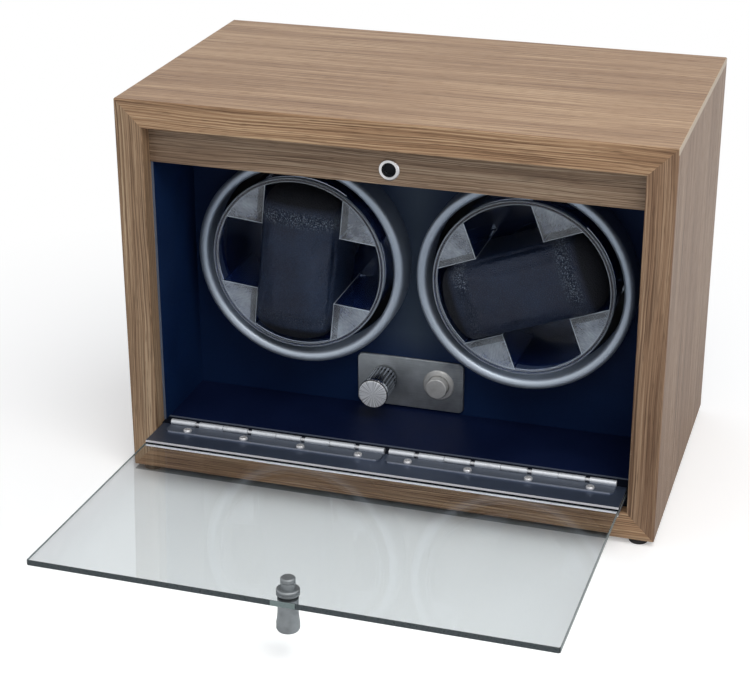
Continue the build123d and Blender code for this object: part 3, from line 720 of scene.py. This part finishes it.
dress(moulded("white_plastic", tint(226, 226, 222)), "left_cup_hub", "right_cup_hub",
      "left_drum_pulley", "right_drum_pulley", "left_motor_pulley", "right_motor_pulley")
dress(moulded("black_plastic", tint(30, 31, 33)), "rotary_switch", "push_switch", "power_jack")
dress(moulded("black_board", tint(34, 34, 36), 0.6), "bearing_board", "back_cover")
dress(rubber("belt_rubber", tint(24, 24, 25)), "left_belt", "right_belt", "wiring")
dress(plated_steel("shaft_steel", tint(190, 192, 196), 0.25),
      "left_drum_shaft", "right_drum_shaft", "selector_shaft")
dress(plated_steel("motor_steel", tint(168, 170, 174), 0.35), "left_gearmotor", "right_gearmotor")
dress(turned_metal("bearing_bronze", tint(178, 138, 92), 0.4, (None, 0.0, None), 3000.0),
      "shaft_bearings")
dress(circuit_card("circuit_green"), "circuit_board")


# ---- Back ------------------------------------------------------------------------------------
# A thin black cover screwed to four plywood blocks in the corners, with the power socket in it.

def plywood(name):
    wood = Finish(name)
    x, y, z = wood.spot()
    plies = wood.noise((x * 30, y * 40, z * 1400), 2)
    colour = wood.blend(tint(196, 164, 120), tint(150, 112, 74), (plies * 2 + 0.4).held())
    return wood.done(wood.skin(colour, 0.6 + plies * 0.2, 0.0, wood.bump(plies, 0.0001)))


dress(plywood("plywood"), "corner_blocks")


# ---- Room ------------------------------------------------------------------------------------
# A pale floor that runs into a white background, with a painted shadow under the case where it
# is seen through the glass, one broad soft lamp above the front and a weaker one at the right,
# and the camera where the photograph was taken from.

def white_behind(finish, plain, white):
    """plain for the light in the room, white for what the camera, metal and glass see."""
    rays = finish.node("LightPath")
    seen = (rays + rays.other("Is Glossy Ray") + rays.other("Is Transmission Ray")).atmost(1.0)
    return finish.node("MixShader", None, {0: seen, 1: plain, 2: white})


room = Finish(bpy.data.worlds.new("room"))
bpy.context.scene.world = room.owner
east = room.node("SeparateXYZ", None, {0: room.node("TexCoord", output="Generated")})
up = east.other(2).held()
around = room.node("Background", None, {"Color": (0.93, 0.96, 1.0, 1.0),
                                        "Strength": up * 0.62 + 0.2})
backdrop = room.node("Background", None, {"Color": (1.0, 1.0, 1.0, 1.0), "Strength": 1.0})
room.node("OutputWorld", None, {"Surface": white_behind(room, around, backdrop)})

floor = Finish("floor")
x, y, z = floor.spot()
away = ((x ** 2.0 + (y + 0.05) ** 2.0) ** 0.5 - 0.24) / 0.28
# Painted shadow: seen through the glass, the floor inside the case's footprint is darkened,
# standing for the shade beneath the case.
inside = (abs(x) < case_half) * (y > case_face)
shade = inside * floor.node("LightPath", output="Is Transmission Ray")
white, dark = (0.86, 0.86, 0.86, 1.0), (0.32, 0.34, 0.35, 1.0)
paper = floor.node("BsdfDiffuse", None, {"Color": floor.blend(white, dark, shade)})
glow = floor.node("Emission", None, {"Color": (1.0, 1.0, 1.0, 1.0), "Strength": 1.0})
lift = floor.node("Emission", None, {"Color": (1.0, 1.0, 1.0, 1.0), "Strength": 0.3})
direct = floor.node("LightPath", output="Is Camera Ray")
lifted = floor.node("AddShader", None, {0: paper, 1: lift})
near = floor.node("MixShader", None, {0: direct, 1: paper, 2: lifted})
faded = floor.node("MixShader", None, {0: away.held(), 1: near, 2: glow})
floor.done(white_behind(floor, paper, faded))

reach = 6.0
sheet = bpy.data.meshes.new("floor")
sheet.from_pydata([(-reach, -reach, 0), (reach, -reach, 0), (reach, reach, 0), (-reach, reach, 0)],
                  [], [(0, 1, 2, 3)])
ground = bpy.data.objects.new("floor", sheet)
ground.data.materials.append(floor.owner)
bpy.context.scene.collection.objects.link(ground)


def soft_lamp(name, place, target, size, watts, colour):
    lamp = bpy.data.lights.new(name, "AREA")
    lamp.shape, lamp.size, lamp.energy, lamp.color = "SQUARE", size, watts, colour
    holder = bpy.data.objects.new(name, lamp)
    holder.location = place
    holder.rotation_euler = (Vector(target) - Vector(place)).to_track_quat("-Z", "Y").to_euler()
    bpy.context.scene.collection.objects.link(holder)


soft_lamp("key_lamp", (0.4, -0.5, 1.0), (0, 0, 0.1), 0.7, 5.8, (1.0, 0.97, 0.93))
soft_lamp("side_lamp", (1.4, -0.3, 0.6), (0, 0, 0.1), 0.9, 1.5, (0.92, 0.96, 1.0))

eye = bpy.data.cameras.new("camera")
eye.sensor_width, eye.lens = 36.0, 89.39
camera = bpy.data.objects.new("camera", eye)
bpy.context.scene.collection.objects.link(camera)
camera.matrix_world = Matrix((
    (0.955397, -0.117396, 0.270990, 0.25528),
    (0.295323, 0.384182, -0.874751, -0.845362),
    (-0.001417, 0.915763, 0.401716, 0.48525),
    (0.0, 0.0, 0.0, 1.0),
))
bpy.context.scene.camera = camera
bpy.context.scene.view_settings.view_transform = "Standard"
